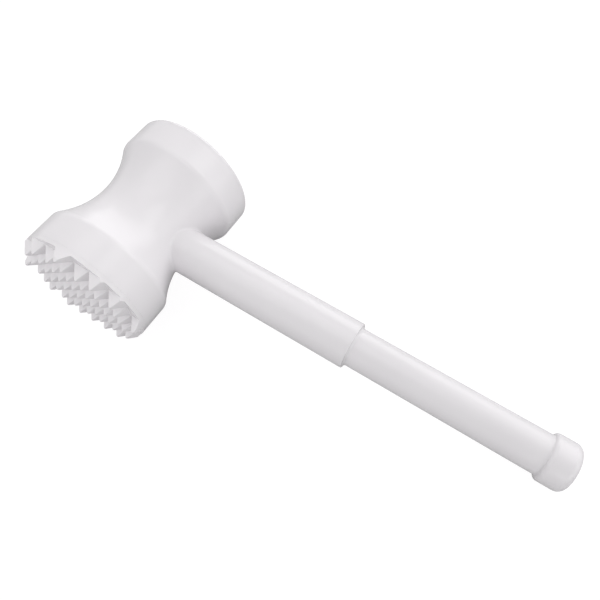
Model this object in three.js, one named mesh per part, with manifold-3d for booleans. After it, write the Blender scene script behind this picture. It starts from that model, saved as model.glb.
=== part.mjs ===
// Meat mallet in white moulded plastic. The head is a hollow spool moulded in one with
// the thick shank of the handle, and each end is closed by its own striking face: one
// with pyramid teeth, one smooth. The thinner grip plugs into the bored shank, and a
// domed knob plugs into the end of the grip.
//
// Millimetres. The pieces are built in the mallet's own axes, X along the handle and
// Y through the two faces, with the middle of the head at zero. At the end the mallet
// is laid down on its two head bands and its knob, with +Z up.

import * as THREE from 'three';
import { mergeVertices } from 'three/addons/utils/BufferGeometryUtils.js';
import Module from 'manifold-3d';

const wasm = await Module();
wasm.setup();

// Head
const headDiameter = 65;
const headLength = 82.5;
const waistDepth = 7.7;
const bandLength = 16.5;
const creaseRadius = 3;
const headWall = 4;
const webThickness = 8;
const cupCornerRadius = 3;

// Striking faces
const faceFlange = 2;
const plugDepth = 5;
const plugChamfer = 0.8;
const smoothRimRadius = 2;

// Teeth
const toothPitch = 7.88;
const toothHeight = 5.6;
const toothTipFlat = 0.7;
const toothRoot = 0.3;
const toothRimMargin = 0.7;
const toothFieldOffset = 0.4;
const toothFieldDegrees = 1.8;

// Shank, moulded with the head
const shankDiameter = 21.9;
const shankEnd = 117.5;
const shankRootFillet = 1.5;
const shankEdgeRadius = 0.5;
const socketBottom = 36;

// Grip
const gripDiameter = 18;
const gripRootFillet = 1;
const gripBore = 11;
const gripEndWall = 3;
const tenonDiameter = 15;
const tenonLength = 40;
const tenonChamfer = 0.8;

// Knob
const knobDiameter = 21.4;
const knobLength = 12.8;
const knobShoulderRadius = 1.8;
const knobEndRadius = 3.7;
const knobDome = 0.8;
const spigotLength = 14;
const handleEnd = 218.6;

// Fits and facets
const plugClearance = 0.1;
const seatGap = 0.1;
const overrun = 1;
const headSegments = 64;
const handleSegments = 48;
const arcSteps = 4;
const waistSteps = 8;
const filletSteps = 6;

const headRadius = headDiameter / 2;
const waistRadius = headRadius - waistDepth;
const creasePlace = headLength / 2 - bandLength;
const seatPlace = headLength / 2 - faceFlange;
const mouthRadius = headRadius - headWall;
const shankRadius = shankDiameter / 2;
const gripRadius = gripDiameter / 2;
const tenonRadius = tenonDiameter / 2;
const knobRadius = knobDiameter / 2;
const knobPlace = handleEnd - knobLength;

// The waist is one circular arc, seen in a plane through the head's axis. It is drawn
// in to waistRadius at the middle and comes out to headRadius at the two creases.
const waistArcPlace = (headRadius ** 2 - waistRadius ** 2 + creasePlace ** 2) / (2 * waistDepth);
const waistArcRadius = waistArcPlace - waistRadius;

const whitePlastic = { color: 0xe6e3e6, roughness: 0.38, metalness: 0 };

function arcPoints(centre, radius, from, to, steps) {
  const clockwise = to < from;
  const arc = new THREE.EllipseCurve(centre.x, centre.y, radius, radius, from, to, clockwise);
  return arc.getPoints(steps);
}

function angleFrom(centre, point) {
  return Math.atan2(point.y - centre.y, point.x - centre.x);
}

// A closed mesh keeps one vertex for each place, and its triangles without area go.
function solidOf(geometry) {
  const bare = geometry.clone();
  bare.deleteAttribute('normal');
  bare.deleteAttribute('uv');
  const merged = mergeVertices(bare);
  const index = merged.index.array;
  const triangles = [];
  for (let i = 0; i < index.length; i += 3) {
    const [a, b, c] = [index[i], index[i + 1], index[i + 2]];
    if (a !== b && b !== c && c !== a) triangles.push(a, b, c);
  }
  return new wasm.Manifold(new wasm.Mesh({
    numProp: 3,
    vertProperties: new Float32Array(merged.attributes.position.array),
    triVerts: new Uint32Array(triangles),
  }));
}

function pieceOf(name, solid) {
  const mesh = solid.getMesh();
  const geometry = new THREE.BufferGeometry();
  geometry.setAttribute('position', new THREE.BufferAttribute(mesh.vertProperties, 3));
  geometry.setIndex(new THREE.BufferAttribute(mesh.triVerts, 1));
  const flat = geometry.toNonIndexed();
  flat.computeVertexNormals();
  const piece = new THREE.Mesh(flat, new THREE.MeshStandardMaterial(whitePlastic));
  piece.name = name;
  return piece;
}

// Profiles run from the axis at the low end, round the outside, to the axis at the top.
function revolveAboutHeadAxis(profile) {
  return solidOf(new THREE.LatheGeometry(profile, headSegments));
}

function revolveAboutHandleAxis(profile) {
  return solidOf(new THREE.LatheGeometry(profile, handleSegments).rotateZ(-Math.PI / 2));
}

// Half of the spool's outline, from the middle of the waist to the end of the band. The
// crease is a fillet that touches the waist's arc and the band's straight side.
function spoolOutline() {
  const waistCentre = new THREE.Vector2(waistArcPlace, 0);
  const filletSpan = waistArcRadius + creaseRadius;
  const filletRadial = headRadius - creaseRadius;
  const filletAxial = Math.sqrt(filletSpan ** 2 - (waistArcPlace - filletRadial) ** 2);
  const filletCentre = new THREE.Vector2(filletRadial, filletAxial);
  const arcEnd = angleFrom(waistCentre, filletCentre);
  const waist = arcPoints(waistCentre, waistArcRadius, Math.PI, arcEnd, waistSteps);
  const crease = arcPoints(filletCentre, creaseRadius, arcEnd - Math.PI, 0, arcSteps);
  return [...waist, ...crease.slice(1), new THREE.Vector2(headRadius, seatPlace)];
}

function spool() {
  const upper = spoolOutline();
  const lower = upper.slice(1).reverse().map((point) => new THREE.Vector2(point.x, -point.y));
  const profile = [
    new THREE.Vector2(0, -seatPlace),
    ...lower,
    ...upper,
    new THREE.Vector2(0, seatPlace),
  ];
  return revolveAboutHeadAxis(profile);
}

// The hollow behind one face. Its wall runs parallel to the outside of the waist, from
// the web across the middle out to the straight mouth that takes the face's plug.
function cup() {
  const wallCentre = new THREE.Vector2(waistArcPlace, 0);
  const wallRadius = waistArcRadius + headWall;
  const floor = webThickness / 2;
  const cornerAxial = floor + cupCornerRadius;
  const cornerSpan = wallRadius + cupCornerRadius;
  const cornerRadial = waistArcPlace - Math.sqrt(cornerSpan ** 2 - cornerAxial ** 2);
  const cornerCentre = new THREE.Vector2(cornerRadial, cornerAxial);
  const mouthAxial = Math.sqrt(wallRadius ** 2 - (waistArcPlace - mouthRadius) ** 2);
  const mouthStart = new THREE.Vector2(mouthRadius, mouthAxial);
  const cornerEnd = Math.atan2(-cornerAxial, waistArcPlace - cornerRadial);
  const wallStart = Math.PI + cornerEnd;
  const wallEnd = angleFrom(wallCentre, mouthStart);
  const profile = [
    new THREE.Vector2(0, floor),
    ...arcPoints(cornerCentre, cupCornerRadius, -Math.PI / 2, cornerEnd, arcSteps),
    ...arcPoints(wallCentre, wallRadius, wallStart, wallEnd, waistSteps).slice(1),
    new THREE.Vector2(mouthRadius, seatPlace + overrun),
    new THREE.Vector2(0, seatPlace + overrun),
  ];
  return revolveAboutHeadAxis(profile);
}

// Joins rings with equally many points to one closed skin, with a fan over each end.
function loft(rings) {
  const count = rings[0].length;
  const first = rings[0].reduce((sum, point) => sum.add(point), new THREE.Vector3());
  const last = rings.at(-1).reduce((sum, point) => sum.add(point), new THREE.Vector3());
  const points = [first.divideScalar(count), ...rings.flat(), last.divideScalar(count)];
  const index = [];
  for (let i = 0; i < count; i += 1) {
    const next = (i + 1) % count;
    index.push(0, 1 + next, 1 + i);
    for (let ring = 0; ring < rings.length - 1; ring += 1) {
      const here = 1 + ring * count;
      const there = here + count;
      index.push(here + i, here + next, there + i);
      index.push(here + next, there + next, there + i);
    }
    const top = 1 + (rings.length - 1) * count;
    index.push(points.length - 1, top + i, top + next);
  }
  const geometry = new THREE.BufferGeometry().setFromPoints(points);
  geometry.setIndex(index);
  return solidOf(geometry);
}

// One side of the fillet round the shank's root. A ball of the fillet's radius rolls in
// the corner, touching the shank and the waist, and its centre follows in closed form.
function rootFilletAt(turn) {
  const ballSide = shankRadius + shankRootFillet;
  const outward = new THREE.Vector3(0, Math.cos(turn), Math.sin(turn));
  const across = ballSide * outward.y;
  const up = ballSide * outward.z;
  const ballSpan = waistArcRadius - shankRootFillet;
  const radial = waistArcPlace - Math.sqrt(ballSpan ** 2 - across ** 2);
  const along = Math.sqrt(radial ** 2 - up ** 2);
  const ball = new THREE.Vector3(along, across, up);
  const arcShare = waistArcPlace / radial;
  const arcCentre = new THREE.Vector3(along * arcShare, 0, up * arcShare);
  const toShank = outward.clone().negate();
  const toWaist = ball.clone().sub(arcCentre).divideScalar(ballSpan);
  const sweep = toShank.angleTo(toWaist);
  const axis = toWaist.clone().cross(toShank).normalize();
  const points = [];
  for (let step = -1; step <= filletSteps; step += 1) {
    const spoke = toWaist.clone().applyAxisAngle(axis, sweep * step / filletSteps);
    points.push(spoke.multiplyScalar(shankRootFillet).add(ball));
  }
  return points;
}

// The shank with its flared root, from inside the head to the square step at its end.
function shank() {
  const turns = Array.from({ length: handleSegments }, (_, i) => i * 2 * Math.PI / handleSegments);
  const sides = turns.map(rootFilletAt);
  const ringAt = (along, radius) => turns.map((turn) => (
    new THREE.Vector3(along, radius * Math.cos(turn), radius * Math.sin(turn))
  ));
  const edge = new THREE.Vector2(shankEnd - shankEdgeRadius, shankRadius - shankEdgeRadius);
  const edgeArc = arcPoints(edge, shankEdgeRadius, Math.PI / 2, 0, arcSteps);
  return loft([
    ringAt(0, shankRadius),
    ...sides[0].map((_, step) => sides.map((side) => side[step])),
    ...edgeArc.map((point) => ringAt(point.x, point.y)),
  ]);
}

function socket() {
  const radius = tenonRadius + plugClearance;
  return revolveAboutHandleAxis([
    new THREE.Vector2(0, socketBottom),
    new THREE.Vector2(radius, socketBottom),
    new THREE.Vector2(radius, shankEnd + overrun),
    new THREE.Vector2(0, shankEnd + overrun),
  ]);
}

function headShell() {
  const nearCup = cup();
  const farCup = nearCup.rotate([180, 0, 0]);
  const body = spool().add(shank());
  return pieceOf('head_shell', body.subtract(nearCup).subtract(farCup).subtract(socket()));
}

// The back of a face plate: a stepped disc whose plug drops into the head's mouth.
function plugOutline() {
  const plugRadius = mouthRadius - plugClearance;
  const plugEnd = seatPlace - plugDepth;
  return [
    new THREE.Vector2(0, plugEnd),
    new THREE.Vector2(plugRadius - plugChamfer, plugEnd),
    new THREE.Vector2(plugRadius, plugEnd + plugChamfer),
    new THREE.Vector2(plugRadius, seatPlace + seatGap),
    new THREE.Vector2(headRadius, seatPlace + seatGap),
  ];
}

function smoothFace() {
  const rim = new THREE.Vector2(headRadius - smoothRimRadius, headLength / 2 - smoothRimRadius);
  return pieceOf('smooth_face', revolveAboutHeadAxis([
    ...plugOutline(),
    ...arcPoints(rim, smoothRimRadius, 0, Math.PI / 2, arcSteps),
    new THREE.Vector2(0, headLength / 2),
  ]));
}

// One blunt square pyramid. Its flanks run on below the valleys, so that neighbours
// meet in a clean V and all of them are rooted in the plate.
function toothAt(across, up, turn) {
  const tipHalf = toothTipFlat / 2;
  const flankSlope = (toothPitch / 2 - tipHalf) / toothHeight;
  const rootHalf = toothPitch / 2 + 2 * toothRoot * flankSlope;
  const height = toothHeight + 2 * toothRoot;
  const middle = headLength / 2 + toothHeight - height / 2;
  const corner = Math.SQRT2;
  const pyramid = new THREE.CylinderGeometry(tipHalf * corner, rootHalf * corner, height, 4);
  return solidOf(pyramid.rotateY(Math.PI / 4 - turn).translate(across, middle, up));
}

// The teeth stand on a square grid that sits a little turned and off the middle of the
// plate. A tooth is kept where its tip stands clear of the rim by toothRimMargin, and the
// rim's cylinder trims the flanks of the outer ones.
function toothField() {
  const turn = toothFieldDegrees * Math.PI / 180;
  const reach = Math.ceil(headRadius / toothPitch);
  const teeth = [];
  for (let row = -reach; row <= reach; row += 1) {
    for (let column = -reach; column <= reach; column += 1) {
      const place = new THREE.Vector2(column, row).multiplyScalar(toothPitch);
      place.rotateAround(new THREE.Vector2(), turn);
      place.y += toothFieldOffset;
      if (place.length() > headRadius - toothRimMargin) continue;
      teeth.push(toothAt(place.x, place.y, turn));
    }
  }
  return wasm.Manifold.union(teeth);
}

function toothedFace() {
  const plateTop = headLength / 2 - toothRoot;
  const tipPlace = headLength / 2 + toothHeight;
  const plate = revolveAboutHeadAxis([
    ...plugOutline(),
    new THREE.Vector2(headRadius, plateTop),
    new THREE.Vector2(0, plateTop),
  ]);
  const rimCylinder = revolveAboutHeadAxis([
    new THREE.Vector2(0, seatPlace - plugDepth - overrun),
    new THREE.Vector2(headRadius, seatPlace - plugDepth - overrun),
    new THREE.Vector2(headRadius, tipPlace + overrun),
    new THREE.Vector2(0, tipPlace + overrun),
  ]);
  const toothed = plate.add(toothField()).intersect(rimCylinder);
  return pieceOf('toothed_face', toothed.rotate([180, 0, 0]));
}

// The grip is a tube closed at its tenon and open at the knob. Its root swells a little
// where it leaves the step.
function gripTube() {
  const gripStart = shankEnd + seatGap;
  const tenonStart = gripStart - tenonLength;
  const rootArc = new THREE.Vector2(gripRadius + gripRootFillet, gripStart + gripRootFillet);
  const outside = revolveAboutHandleAxis([
    new THREE.Vector2(0, tenonStart),
    new THREE.Vector2(tenonRadius - tenonChamfer, tenonStart),
    new THREE.Vector2(tenonRadius, tenonStart + tenonChamfer),
    new THREE.Vector2(tenonRadius, gripStart),
    ...arcPoints(rootArc, gripRootFillet, 3 * Math.PI / 2, Math.PI, arcSteps),
    new THREE.Vector2(gripRadius, knobPlace),
    new THREE.Vector2(0, knobPlace),
  ]);
  const bore = revolveAboutHandleAxis([
    new THREE.Vector2(0, tenonStart + gripEndWall),
    new THREE.Vector2(gripBore / 2, tenonStart + gripEndWall),
    new THREE.Vector2(gripBore / 2, knobPlace + overrun),
    new THREE.Vector2(0, knobPlace + overrun),
  ]);
  return pieceOf('grip_tube', outside.subtract(bore));
}

// The knob's end is a shallow dome: an arc that rises by knobDome inside the end radius.
function endKnob() {
  const spigotRadius = gripBore / 2 - plugClearance;
  const start = knobPlace + seatGap;
  const shoulder = new THREE.Vector2(knobRadius - knobShoulderRadius, start + knobShoulderRadius);
  const domeEdge = handleEnd - knobDome;
  const rim = new THREE.Vector2(knobRadius - knobEndRadius, domeEdge - knobEndRadius);
  const domeRadius = (rim.x ** 2 + knobDome ** 2) / (2 * knobDome);
  const domeCentre = new THREE.Vector2(0, handleEnd - domeRadius);
  const domeStart = angleFrom(domeCentre, new THREE.Vector2(rim.x, domeEdge));
  return pieceOf('end_knob', revolveAboutHandleAxis([
    new THREE.Vector2(0, knobPlace - spigotLength),
    new THREE.Vector2(spigotRadius - tenonChamfer, knobPlace - spigotLength),
    new THREE.Vector2(spigotRadius, knobPlace - spigotLength + tenonChamfer),
    new THREE.Vector2(spigotRadius, start),
    ...arcPoints(shoulder, knobShoulderRadius, -Math.PI / 2, 0, arcSteps),
    ...arcPoints(rim, knobEndRadius, 0, Math.PI / 2, arcSteps),
    ...arcPoints(domeCentre, domeRadius, domeStart, Math.PI / 2, arcSteps).slice(1, -1),
    new THREE.Vector2(0, handleEnd),
  ]));
}

// Lying down, the floor touches the head's bands and the rounded end of the knob, so
// the handle slopes by the angle at which one line touches both circles.
function lieAngle() {
  const along = handleEnd - knobDome - knobEndRadius;
  const below = knobRadius - knobEndRadius;
  const reach = Math.hypot(along, below);
  return Math.asin((headRadius - knobEndRadius) / reach) - Math.atan2(below, along);
}

const mallet = new THREE.Group();
mallet.add(headShell(), toothedFace(), smoothFace(), gripTube(), endKnob());
mallet.rotation.y = lieAngle();

// The origin is on the floor, below the middle of the mallet's outline.
const part = new THREE.Group();
part.add(mallet);
part.updateMatrixWorld(true);
const extent = new THREE.Box3().setFromObject(part, true);
const middle = extent.getCenter(new THREE.Vector3());
mallet.position.set(-middle.x, -middle.y, -extent.min.z);
part.updateMatrixWorld(true);

export default part;
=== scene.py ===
"""Looks of the white plastic meat mallet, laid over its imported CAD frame.

Every shape is worked out in millimetres in the mallet's own axes, X along the handle
and Y through the two striking faces, with the middle of the head at zero. lie_down()
then lays it on the floor in the row frame, in metres. Depths in the plastic, distances
for cleaning a mesh, the floor and the lamps are in metres from the start.
"""

import math

import bmesh
import bpy
import numpy as np
from mathutils import Matrix, Vector


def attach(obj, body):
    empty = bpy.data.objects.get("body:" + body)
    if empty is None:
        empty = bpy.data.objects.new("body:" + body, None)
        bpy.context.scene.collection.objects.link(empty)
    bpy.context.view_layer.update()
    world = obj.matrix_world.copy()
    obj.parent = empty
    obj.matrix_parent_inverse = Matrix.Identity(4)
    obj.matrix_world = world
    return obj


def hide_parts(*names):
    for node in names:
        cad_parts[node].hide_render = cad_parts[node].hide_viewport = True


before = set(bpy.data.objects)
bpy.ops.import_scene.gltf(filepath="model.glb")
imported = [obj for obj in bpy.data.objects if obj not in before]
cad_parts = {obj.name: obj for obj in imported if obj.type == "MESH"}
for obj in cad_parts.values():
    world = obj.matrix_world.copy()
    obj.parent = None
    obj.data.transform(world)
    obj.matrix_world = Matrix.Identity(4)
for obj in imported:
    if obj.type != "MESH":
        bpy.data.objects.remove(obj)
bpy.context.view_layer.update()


# Head shell: a hollow waisted drum in white moulded plastic, in one piece with the thick
# shank of the handle. The shank grows out of the waist through a rolled fillet, and its
# far end is bored out for the grip. Each mouth of the drum takes a striking face.
head_radius = 32.5
half_length = 41.25
waist_depth = 7.7
band_length = 16.5
crease_radius = 5
head_wall = 4
web_half = 4
cup_corner_radius = 3
face_flange = 2
shank_radius = 10.95
shank_end = 117.5
shank_root_fillet = 1.5
shank_edge_radius = 0.5
socket_radius = 7.6
socket_bottom = 36
knob_radius = 10.7
knob_end_radius = 3.7
knob_dome = 0.8
handle_end = 218.6
own_zero_in_row = (-92.56, 2.8, 32.4997)
millimetre = 0.001

# How finely surfaces are divided, and how a mesh is cleaned and shaded.
around_head = 200
waist_side = 44
waist_rings = 60
arc_steps = 10
sharp_edge = math.radians(38)
merge_distance = 1e-6
thinnest_face = 1e-7

waist_radius = head_radius - waist_depth
crease_place = half_length - band_length
seat_place = half_length - face_flange
mouth_radius = head_radius - head_wall
waist_arc_place = (head_radius**2 - waist_radius**2 + crease_place**2) / (2 * waist_depth)
waist_arc_radius = waist_arc_place - waist_radius

# The mallet lies on its head and on the knob's rounded end, whose centre is rest_point.
rest_point = (handle_end - knob_dome - knob_end_radius, knob_radius - knob_end_radius)
rest_reach = math.hypot(rest_point[0], rest_point[1])
rest_drop = math.atan2(rest_point[1], rest_point[0])
lie_angle = math.asin((head_radius - knob_end_radius) / rest_reach) - rest_drop
lie_turn = np.array(
    [
        [math.cos(lie_angle), 0, math.sin(lie_angle)],
        [0, 1, 0],
        [-math.sin(lie_angle), 0, math.cos(lie_angle)],
    ]
)


def lie_down(points):
    """Turns points about Y by the angle at which the mallet lies on its head and knob,
    moves them to the row frame's zero and makes them metres."""
    return (points @ lie_turn.T + np.array(own_zero_in_row)) * millimetre


def arc(centre, radius, start, end, steps):
    """Points on a circle's arc: centre plus radius times cosine and sine of an angle
    that goes evenly from start to end."""
    angle = np.linspace(start, end, steps + 1)
    one, two = radius * np.cos(angle), radius * np.sin(angle)
    return np.stack([centre[0] + one, centre[1] + two], 1)


def turned(profile, angles, axis):
    """Carries a profile of (radius, place) round an axis. About Y a point is at
    (r cos a, place, r sin a), and about X at (place, r cos a, r sin a)."""
    profile = np.asarray(profile, float)
    radius, place = profile[:, :1], profile[:, 1:] + 0 * angles
    side, up = radius * np.cos(angles), radius * np.sin(angles)
    parts = [side, place, up] if axis == "Y" else [place, side, up]
    return np.stack(parts, -1)


def rings_to_mesh(stacks):
    """Joins stacks of closed rings into vertices and faces. In a stack, ring k and ring
    k + 1 are joined by quads between points i and i + 1, and a ring of radius zero
    shrinks to a pole when its doubles are merged."""
    points, faces, used = [], [], 0
    for rings in stacks:
        count, size = rings.shape[:2]
        ring, i = np.meshgrid(np.arange(count - 1), np.arange(size), indexing="ij")
        here, there = used + ring * size, used + (ring + 1) * size
        j = (i + 1) % size
        quads = np.stack([here + i, here + j, there + j, there + i], -1)
        faces.append(quads.reshape(-1, 4))
        points.append(rings.reshape(-1, 3))
        used += count * size
    return np.concatenate(points), np.concatenate(faces)


def solid_piece(name, points, faces, material):
    """Makes a closed mesh: doubles merged, faces outwards, smooth between sharp edges."""
    mesh = bpy.data.meshes.new(name)
    mesh.from_pydata(lie_down(points), [], faces.tolist())
    tidy = bmesh.new()
    tidy.from_mesh(mesh)
    bmesh.ops.remove_doubles(tidy, verts=tidy.verts, dist=merge_distance)
    bmesh.ops.dissolve_degenerate(tidy, edges=tidy.edges, dist=thinnest_face)
    bmesh.ops.recalc_face_normals(tidy, faces=tidy.faces)
    tidy.to_mesh(mesh)
    tidy.free()
    mesh.shade_smooth()
    mesh.set_sharp_from_angle(angle=sharp_edge)
    piece = bpy.data.objects.new(name, mesh)
    bpy.context.scene.collection.objects.link(piece)
    mesh.materials.append(material)
    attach(piece, "root")
    return piece


# The plastic: how it refracts and scatters light, its tints, its gloss and its skin.
plastic_ior = 1.49
light_inside = 0.1
light_depth = 0.003
tints = ((0.3, (0.83, 0.808, 0.83, 1)), (0.7, (0.855, 0.832, 0.855, 1)))
cloud_scale = 28
cloud_detail = 3
gloss_roughness = 0.2
gloss_spread = 0.04
skin_scale = 900
skin_detail = 2
skin_strength = 0.12
skin_depth = 0.00005


def white_plastic(name):
    """White moulded plastic: a soft gloss that varies a little from place to place over a
    very fine orange-peel skin, with light that goes a short way in."""
    material = bpy.data.materials.new(name)
    material.use_nodes = True
    tree = material.node_tree
    nodes, links = tree.nodes, tree.links
    shader = nodes["Principled BSDF"]
    shader.inputs["IOR"].default_value = plastic_ior
    shader.inputs["Subsurface Weight"].default_value = light_inside
    shader.inputs["Subsurface Radius"].default_value = (light_depth,) * 3
    shader.inputs["Subsurface Scale"].default_value = 1.0
    place = nodes.new("ShaderNodeTexCoord")

    cloud = nodes.new("ShaderNodeTexNoise")
    cloud.inputs["Scale"].default_value = cloud_scale
    cloud.inputs["Detail"].default_value = cloud_detail
    links.new(place.outputs["Object"], cloud.inputs["Vector"])
    tint = nodes.new("ShaderNodeValToRGB")
    for stop, (position, colour) in zip(tint.color_ramp.elements, tints):
        stop.position = position
        stop.color = colour
    links.new(cloud.outputs["Fac"], tint.inputs["Fac"])
    links.new(tint.outputs["Color"], shader.inputs["Base Color"])

    polish = nodes.new("ShaderNodeMapRange")
    polish.inputs["To Min"].default_value = gloss_roughness - gloss_spread
    polish.inputs["To Max"].default_value = gloss_roughness + gloss_spread
    links.new(cloud.outputs["Fac"], polish.inputs["Value"])
    links.new(polish.outputs["Result"], shader.inputs["Roughness"])

    skin = nodes.new("ShaderNodeTexNoise")
    skin.inputs["Scale"].default_value = skin_scale
    skin.inputs["Detail"].default_value = skin_detail
    links.new(place.outputs["Object"], skin.inputs["Vector"])
    relief = nodes.new("ShaderNodeBump")
    relief.inputs["Strength"].default_value = skin_strength
    relief.inputs["Distance"].default_value = skin_depth
    links.new(skin.outputs["Fac"], relief.inputs["Height"])
    links.new(relief.outputs["Normal"], shader.inputs["Normal"])
    return material


def crease_arc():
    """The rounding between the waist's arc and the straight band, as (radius, place). Its
    centre lies at the waist arc's radius plus its own from the arc's centre, and it ends
    at the head's radius."""
    radial = head_radius - crease_radius
    span = waist_arc_radius + crease_radius
    axial = math.sqrt(span**2 - (waist_arc_place - radial) ** 2)
    start = math.atan2(axial, radial - waist_arc_place)
    return arc((radial, axial), crease_radius, start - math.pi, 0, arc_steps)


def cup_profile():
    """The hollow behind a face, from the mouth in to the axis: straight down the mouth,
    along an arc parallel to the waist's, and round a corner onto the flat web."""
    wall_radius = waist_arc_radius + head_wall
    corner_axial = web_half + cup_corner_radius
    corner_span = wall_radius + cup_corner_radius
    corner_radial = waist_arc_place - math.sqrt(corner_span**2 - corner_axial**2)
    mouth_axial = math.sqrt(wall_radius**2 - (waist_arc_place - mouth_radius) ** 2)
    corner_end = math.atan2(-corner_axial, waist_arc_place - corner_radial)
    wall_end = math.atan2(mouth_axial, mouth_radius - waist_arc_place)
    wall = arc((waist_arc_place, 0), wall_radius, wall_end, math.pi + corner_end, arc_steps)
    corner_centre = (corner_radial, corner_axial)
    corner = arc(corner_centre, cup_corner_radius, corner_end, -math.pi / 2, arc_steps)
    return [[mouth_radius, seat_place], *wall, *corner, [0, web_half]]


def root_fillet(turn):
    """The fillet round the shank's root. A ball of the fillet's radius touches the shank
    at each turn about the handle's axis and touches the waist, and the fillet is the arc
    on the ball from its point on the shank to its point on the waist."""
    side = shank_radius + shank_root_fillet
    span = waist_arc_radius - shank_root_fillet
    across, up = side * np.cos(turn), side * np.sin(turn)
    radial = waist_arc_place - np.sqrt(span**2 - across**2)
    along = np.sqrt(radial**2 - up**2)
    ball = np.stack([along, across, up], 1)
    share = waist_arc_place / radial
    arc_centre = np.stack([along * share, 0 * turn, up * share], 1)
    to_shank = np.stack([0 * turn, -np.cos(turn), -np.sin(turn)], 1)
    to_waist = (ball - arc_centre) / span
    sweep = np.arccos(np.sum(to_shank * to_waist, 1))
    level = to_waist - to_shank * np.cos(sweep)[:, None]
    level /= np.linalg.norm(level, axis=1)[:, None]
    angle = sweep * np.linspace(0, 1, arc_steps + 1)[:, None]
    spoke = to_shank * np.cos(angle)[..., None] + level * np.sin(angle)[..., None]
    return ball + shank_root_fillet * spoke


def waist_patch(contact):
    """The waist between its two creases, as rings that open from the fillet's edge to a
    frame. Unrolled, with the angle round the head against the place along it, each ring
    lies a share of the way on straight lines from the edge to the frame."""
    crease_start = crease_arc()[0][1]
    half_round = around_head / 2
    corners = np.cumsum([0, half_round, waist_side, around_head, waist_side, half_round])
    steps = np.arange(len(contact))
    frame_angle = np.interp(steps, corners, np.pi * np.array([0, 1, 1, -1, -1, 0]))
    frame_place = np.interp(steps, corners, crease_start * np.array([1, 1, -1, -1, 1, 1]))
    share = np.linspace(0, 1, waist_rings + 1)[1:, None]
    angle = np.arctan2(contact[:, 2], contact[:, 0]) * (1 - share) + frame_angle * share
    place = contact[:, 1] * (1 - share) + frame_place * share
    radius = waist_arc_place - np.sqrt(waist_arc_radius**2 - place**2)
    return np.stack([radius * np.cos(angle), place, radius * np.sin(angle)], -1)


turns = np.arange(2 * (around_head + waist_side)) * np.pi / (around_head + waist_side)
shank_edge = arc(
    (shank_radius - shank_edge_radius, shank_end - shank_edge_radius),
    shank_edge_radius, np.pi / 2, 0, arc_steps,
)
bore = turned(
    [
        [0, socket_bottom],
        [socket_radius, socket_bottom],
        [socket_radius, shank_end],
        *shank_edge,
    ],
    turns, "X",
)
fillet = root_fillet(turns)
shank_stack = np.concatenate([bore, fillet, waist_patch(fillet[-1])])
head_angles = np.linspace(-np.pi, np.pi, around_head, endpoint=False)
half_profile = [*crease_arc(), [head_radius, seat_place], *cup_profile()]
upper_stack = turned(half_profile, head_angles, "Y")
lower_stack = upper_stack * np.array([1, -1, 1])
head_plastic = white_plastic("white_plastic_head")
head = solid_piece(
    "head_and_shank", *rings_to_mesh([shank_stack, upper_stack, lower_stack]), head_plastic
)
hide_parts("head_shell")


# Smooth striking face: a round plate with a softly rounded rim, and a plug behind it
# that is pushed into the far mouth of the head. Same white plastic, moulded smooth.
plug_clearance = 0.1
hairline = 0.01
plug_depth = 5
plug_chamfer = 0.8
smooth_rim_radius = 2
plug_radius = mouth_radius - plug_clearance
plug_end = seat_place - plug_depth
plug_profile = [
    [0, plug_end],
    [plug_radius - plug_chamfer, plug_end],
    [plug_radius, plug_end + plug_chamfer],
    [plug_radius, seat_place + hairline],
    [head_radius, seat_place + hairline],
]
rim = (head_radius - smooth_rim_radius, half_length - smooth_rim_radius)
smooth_profile = [
    *plug_profile,
    *arc(rim, smooth_rim_radius, 0, np.pi / 2, arc_steps),
    [0, half_length],
]
face_plastic = white_plastic("white_plastic_faces")
smooth_face = solid_piece(
    "smooth_striking_face",
    *rings_to_mesh([turned(smooth_profile, head_angles, "Y")]),
    face_plastic,
)
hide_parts("smooth_face")


# Toothed striking face: the same plate and plug at the near mouth, covered in rows of
# blunt square pyramids. The rim cuts through the flanks of the outer ones.
tooth_pitch = 7.88
tooth_height = 5.6
tip_flat = 0.7
rim_margin = 0.7
field_offset = 0.4
field_turn = math.radians(1.8)
edge_softness = 0.06
edge_power = 14
tooth_reach = 4
tooth_steps = np.array([0, 0.05, 0.1, 0.16, 0.25, 0.4, 0.55, 0.7, 0.82, 0.9, 0.95, 1])
trim_margin = 1
tooth_sharp_edge = math.radians(20)


def soft_ramp(value, width):
    """Half of value plus the root of value squared plus width squared: zero far below
    nothing, value far above it, and a round bend of that width between."""
    return (value + np.sqrt(value**2 + width**2)) / 2


def tooth_grid():
    """Places and heights of the teeth on a grid that is closer at tips and valleys. The
    height falls with the larger of the two shares of half a pitch from a tooth's middle,
    with its edges, tip and valleys a little rounded."""
    share = np.concatenate([-tooth_steps[:0:-1], tooth_steps[:-1]])
    line = np.concatenate([2 * k + share for k in range(-tooth_reach, tooth_reach + 1)])
    column, row = np.meshgrid(line, line, indexing="ij")
    middle = np.round(column / 2), np.round(row / 2)
    off = np.abs(column - 2 * middle[0]), np.abs(row - 2 * middle[1])
    from_middle = (off[0] ** edge_power + off[1] ** edge_power) ** (1 / edge_power)
    flat = tip_flat / tooth_pitch
    fall = soft_ramp(from_middle - flat, edge_softness) / (1 - flat)
    height = tooth_height * soft_ramp(1 - fall, edge_softness)
    cosine, sine = math.cos(field_turn), math.sin(field_turn)

    def turned_place(c, r):
        return (
            (cosine * c - sine * r) * tooth_pitch / 2,
            (sine * c + cosine * r) * tooth_pitch / 2 + field_offset,
        )

    across, up = turned_place(column, row)
    tip_across, tip_up = turned_place(2 * middle[0], 2 * middle[1])
    away = np.hypot(tip_across, tip_up) > head_radius - rim_margin
    return across, up, np.where(away, 0, np.minimum(height, tooth_height))


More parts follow.
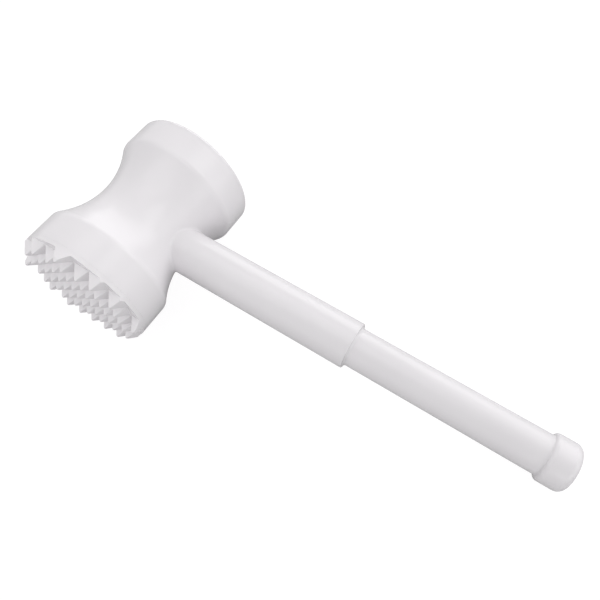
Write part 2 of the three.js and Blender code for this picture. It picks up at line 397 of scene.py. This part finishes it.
def tooth_block():
    """A closed block whose top is the tooth grid. Each square is split along the line
    that runs through its own tooth's middle, so that the pyramids' edges stay straight."""
    across, up, height = tooth_grid()
    size = len(across)
    top = np.stack([across, half_length + height, up], -1)
    under = np.stack([across, 0 * height + plug_end - trim_margin, up], -1)
    i, j = np.meshgrid(np.arange(size - 1), np.arange(size - 1), indexing="ij")
    a, b = i * size + j, (i + 1) * size + j
    c, d = b + 1, a + 1
    steps = len(tooth_steps) - 1
    same = (((i // steps) + (j // steps)) % 2 == 0)[..., None]
    one = np.where(same, np.stack([a, c, b], -1), np.stack([a, d, b], -1))
    two = np.where(same, np.stack([a, d, c], -1), np.stack([b, d, c], -1))
    upper = np.concatenate([one.reshape(-1, 3), two.reshape(-1, 3)])
    lower = upper[:, ::-1] + size * size
    edge = np.arange(size)
    loop = np.concatenate([
        edge[:-1] * size, (size - 1) * size + edge[:-1],
        edge[:0:-1] * size + size - 1, edge[:0:-1],
    ])
    after = np.roll(loop, -1)
    wall_one = np.stack([loop, after, after + size * size], -1)
    wall_two = np.stack([loop, after + size * size, loop + size * size], -1)
    points = np.concatenate([top.reshape(-1, 3), under.reshape(-1, 3)])
    return points, np.concatenate([upper, lower, wall_one, wall_two])


above_teeth = half_length + tooth_height + trim_margin
toothed_profile = [*plug_profile, [head_radius, above_teeth], [0, above_teeth]]
flip = np.array([1, -1, -1])
block_points, block_faces = tooth_block()
toothed_face = solid_piece(
    "toothed_striking_face", block_points * flip, block_faces, face_plastic
)
plate_points, plate_faces = rings_to_mesh([turned(toothed_profile, head_angles, "Y")])
cutter = solid_piece("plate_outline", plate_points * flip, plate_faces, face_plastic)
trim = toothed_face.modifiers.new("trim", "BOOLEAN")
trim.operation = "INTERSECT"
trim.solver = "EXACT"
trim.object = cutter
bpy.context.view_layer.update()
ready = toothed_face.evaluated_get(bpy.context.evaluated_depsgraph_get())
trimmed = bpy.data.meshes.new_from_object(ready)
toothed_face.modifiers.clear()
toothed_face.data = trimmed
trimmed.shade_smooth()
trimmed.set_sharp_from_angle(angle=tooth_sharp_edge)
bpy.data.objects.remove(cutter)
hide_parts("toothed_face")


# Grip: a plain white plastic tube. Its long tenon is pushed into the bored shank, a small
# fillet blends it into the step there, and a smaller one starts the knob's shoulder.
grip_radius = 9
grip_root_fillet = 1.4
grip_end_fillet = 0.8
grip_bore_radius = 5.5
grip_end_wall = 3
tenon_radius = 7.5
tenon_length = 40
tenon_chamfer = 0.8
knob_length = 12.8
knob_shoulder_radius = 1.8
knob_place = handle_end - knob_length
grip_start = shank_end + hairline
tenon_start = grip_start - tenon_length
around_handle = 160
handle_angles = np.linspace(-np.pi, np.pi, around_handle, endpoint=False)
root_centre = (grip_radius + grip_root_fillet, grip_start + grip_root_fillet)
shoulder_centre = (knob_radius - knob_shoulder_radius, knob_place + knob_shoulder_radius)

# The flare is a small arc that leads the grip's side into the knob's shoulder. The grip
# has its first part, up to flare_seam, and the knob has the rest.
flare_span = knob_shoulder_radius + grip_end_fillet
flare_side = grip_radius + grip_end_fillet - shoulder_centre[0]
flare_turn = math.acos(flare_side / flare_span)
flare_centre = (
    grip_radius + grip_end_fillet,
    shoulder_centre[1] - flare_span * math.sin(flare_turn),
)
flare_seam = math.pi - math.asin((knob_place - flare_centre[1]) / grip_end_fillet)
grip_profile = [
    [0, tenon_start],
    [tenon_radius - tenon_chamfer, tenon_start],
    [tenon_radius, tenon_start + tenon_chamfer],
    [tenon_radius, grip_start],
    *arc(root_centre, grip_root_fillet, 3 * np.pi / 2, np.pi, arc_steps),
    *arc(flare_centre, grip_end_fillet, math.pi, flare_seam, arc_steps),
    [grip_bore_radius, knob_place],
    [grip_bore_radius, tenon_start + grip_end_wall],
    [0, tenon_start + grip_end_wall],
]
handle_plastic = white_plastic("white_plastic_handle")
grip = solid_piece(
    "grip_tube_skin",
    *rings_to_mesh([turned(grip_profile, handle_angles, "X")]),
    handle_plastic,
)
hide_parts("grip_tube")


# End knob: a short wider cap with rounded shoulders and a shallow dome, pushed into the
# open end of the grip by its spigot. Same white plastic.
spigot_length = 14
spigot_radius = grip_bore_radius - plug_clearance
spigot_end = knob_place - spigot_length
flare_steps = 4
flare_end = math.pi - flare_turn
flare_rest = arc(flare_centre, grip_end_fillet, flare_seam, flare_end, flare_steps)
knob_start = knob_place + hairline
dome_edge = handle_end - knob_dome
knob_rim = (knob_radius - knob_end_radius, dome_edge - knob_end_radius)
dome_radius = (knob_rim[0] ** 2 + knob_dome**2) / (2 * knob_dome)
dome_centre = (0, handle_end - dome_radius)
dome_start = math.atan2(dome_edge - dome_centre[1], knob_rim[0])
knob_profile = [
    [0, spigot_end],
    [spigot_radius - tenon_chamfer, spigot_end],
    [spigot_radius, spigot_end + tenon_chamfer],
    [spigot_radius, knob_start],
    *(flare_rest + [0, hairline]),
    *arc(shoulder_centre, knob_shoulder_radius, -flare_turn, 0, arc_steps)[1:],
    *arc(knob_rim, knob_end_radius, 0, np.pi / 2, arc_steps),
    *arc(dome_centre, dome_radius, dome_start, np.pi / 2, arc_steps)[1:],
]
knob = solid_piece(
    "end_knob_skin",
    *rings_to_mesh([turned(knob_profile, handle_angles, "X")]),
    handle_plastic,
)
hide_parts("end_knob")


# Floor: a plain flat studio floor. The camera sees it white, with the mallet's faint soft
# shadow on it, and the light that it throws back up is that of a grey table.
floor_half = 6.0
table_grey = (0.5, 0.5, 0.5, 1)
seen_white = (1, 0.995, 1, 1)
seen_strength = 1.25
seen_part = 0.75
floor_mesh = bpy.data.meshes.new("floor")
floor_corners = np.array([[-1, -1, 0], [1, -1, 0], [1, 1, 0], [-1, 1, 0]]) * floor_half
floor_mesh.from_pydata(floor_corners, [], [[0, 1, 2, 3]])
floor = bpy.data.objects.new("floor", floor_mesh)
bpy.context.scene.collection.objects.link(floor)
floor_material = bpy.data.materials.new("studio_floor")
floor_material.use_nodes = True
floor_nodes = floor_material.node_tree.nodes
floor_links = floor_material.node_tree.links
floor_nodes.clear()
table = floor_nodes.new("ShaderNodeBsdfDiffuse")
table.inputs["Color"].default_value = table_grey
glow = floor_nodes.new("ShaderNodeEmission")
glow.inputs["Color"].default_value = seen_white
glow.inputs["Strength"].default_value = seen_strength
seen = floor_nodes.new("ShaderNodeLightPath")
seen_share = floor_nodes.new("ShaderNodeMath")
seen_share.operation = "MULTIPLY"
seen_share.inputs[1].default_value = seen_part
mix = floor_nodes.new("ShaderNodeMixShader")
floor_out = floor_nodes.new("ShaderNodeOutputMaterial")
floor_links.new(seen.outputs["Is Camera Ray"], seen_share.inputs[0])
floor_links.new(seen_share.outputs[0], mix.inputs[0])
floor_links.new(table.outputs[0], mix.inputs[1])
floor_links.new(glow.outputs[0], mix.inputs[2])
floor_links.new(mix.outputs[0], floor_out.inputs["Surface"])
floor_mesh.materials.append(floor_material)


# Light: a white room, brighter towards the horizon, that fills the shadows, two long soft
# boxes behind that draw the bright line along the handle, and smaller ones elsewhere.
horizon_strength = 0.87
zenith_strength = 0.33
backdrop_strength = 1.0
world = bpy.data.worlds.new("white_room")
bpy.context.scene.world = world
world.use_nodes = True
room_nodes = world.node_tree.nodes
room_links = world.node_tree.links
room_out = room_nodes["World Output"]
room = room_nodes["Background"]
room.inputs["Color"].default_value = (1, 1, 1, 1)
room_way = room_nodes.new("ShaderNodeTexCoord")
room_split = room_nodes.new("ShaderNodeSeparateXYZ")
room_fade = room_nodes.new("ShaderNodeMapRange")
room_fade.inputs["To Min"].default_value = horizon_strength
room_fade.inputs["To Max"].default_value = zenith_strength
room_links.new(room_way.outputs["Generated"], room_split.inputs[0])
room_links.new(room_split.outputs["Z"], room_fade.inputs["Value"])
room_links.new(room_fade.outputs["Result"], room.inputs["Strength"])
backdrop = room_nodes.new("ShaderNodeBackground")
backdrop.inputs["Color"].default_value = seen_white
backdrop.inputs["Strength"].default_value = backdrop_strength
room_seen = room_nodes.new("ShaderNodeLightPath")
room_mix = room_nodes.new("ShaderNodeMixShader")
room_links.new(room_seen.outputs["Is Camera Ray"], room_mix.inputs[0])
room_links.new(room.outputs[0], room_mix.inputs[1])
room_links.new(backdrop.outputs[0], room_mix.inputs[2])
room_links.new(room_mix.outputs[0], room_out.inputs["Surface"])


def softbox(name, place, target, width, height, power):
    """A rectangular area lamp at place, turned to shine at target, with its width level."""
    lamp = bpy.data.lights.new(name, "AREA")
    lamp.shape = "RECTANGLE"
    lamp.size = width
    lamp.size_y = height
    lamp.energy = power
    holder = bpy.data.objects.new(name, lamp)
    bpy.context.scene.collection.objects.link(holder)
    way = Vector(target) - Vector(place)
    holder.rotation_mode = "QUATERNION"
    holder.rotation_quaternion = way.to_track_quat("-Z", "Y")
    holder.location = place


aim = (0, 0, 0.03)
head_aim = (-0.09, -0.03, 0.03)
softbox("back_low", (0, 1.4, 0.45), aim, width=3.0, height=0.4, power=4.8)
softbox("back_high", (0, 1.25, 0.85), aim, width=2.6, height=0.5, power=5.6)
softbox("back_corner", (0.64, 0.56, 0.98), aim, width=0.65, height=0.65, power=1.6)
softbox("knob_side", (1.3, 0.1, 0.42), aim, width=1.6, height=0.75, power=1.7)
softbox("front_corner", (1.0, -1.0, 0.45), aim, width=1.2, height=0.7, power=2.2)
softbox("head_front", (-0.35, -0.35, 0.3), head_aim, width=0.3, height=0.3, power=0.33)
softbox("head_top", (-0.12, -0.05, 0.6), head_aim, width=0.5, height=0.5, power=0.58)


# Camera: where the photo was taken from, found from the mallet's outline and the tips of
# its teeth. It is given in the mallet's own axes and turned with it.
camera_place = (145.308, -98.716, 225.761)
camera_forward = (-0.23270, 0.41210, -0.88092)
camera_up = (-0.47662, 0.74124, 0.47265)
camera_data = bpy.data.cameras.new("camera")
camera_data.sensor_width = 36
camera_data.lens = 33.6
camera_data.clip_start = 0.01
camera_data.clip_end = 30
camera = bpy.data.objects.new("camera", camera_data)
bpy.context.scene.collection.objects.link(camera)
back = Vector(lie_turn @ np.array(camera_forward)).normalized() * -1
right = Vector(lie_turn @ np.array(camera_up)).cross(back).normalized()
up = back.cross(right)
camera.rotation_mode = "QUATERNION"
camera.rotation_quaternion = Matrix((right, up, back)).transposed().to_quaternion()
camera.location = lie_down(np.array([camera_place]))[0]
bpy.context.scene.camera = camera
bpy.context.scene.view_settings.view_transform = "Standard"
